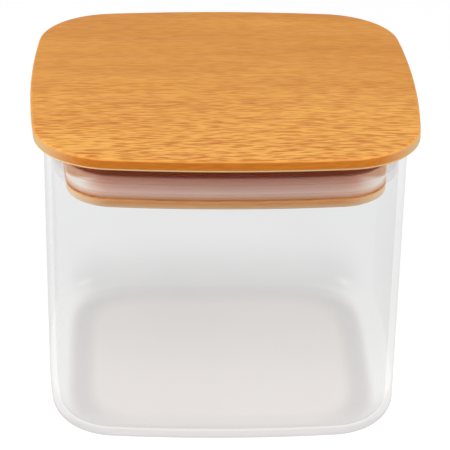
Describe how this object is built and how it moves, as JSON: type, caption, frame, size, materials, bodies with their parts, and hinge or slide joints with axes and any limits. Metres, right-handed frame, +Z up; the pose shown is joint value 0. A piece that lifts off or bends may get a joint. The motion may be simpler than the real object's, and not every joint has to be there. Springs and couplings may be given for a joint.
{
  "type": "airtight food container",
  "caption": "Square clear glass canister with bowed sides and rounded corners, closed by a push-in wooden lid whose silicone ring seals against the glass.",
  "frame": {"origin": "middle of the jar's foot, on the surface that it stands on", "axes": "+Z up along the jar's axis, +X along the lid's grain, -Y towards the viewer of the picture"},
  "size_m": [0.1066, 0.1066, 0.0883],
  "materials": {
    "clear_glass": "clear, polished",
    "board_wood": "satin lacquered beech, grain along X",
    "plug_wood": "sanded and lacquered, grain along X",
    "seal_silicone": "translucent silicone, satin"
  },
  "bodies": {
    "jar": {"glass_jar": "clear_glass"},
    "lid": {"lid_board": "board_wood", "lid_plug": "plug_wood", "seal_ring": "seal_silicone"}
  },
  "joints": [
    {"name": "lid_lift", "type": "slide", "parent": "jar", "child": "lid", "axis": [0, 0, 1], "range_m": [0, 0.1]}
  ]
}
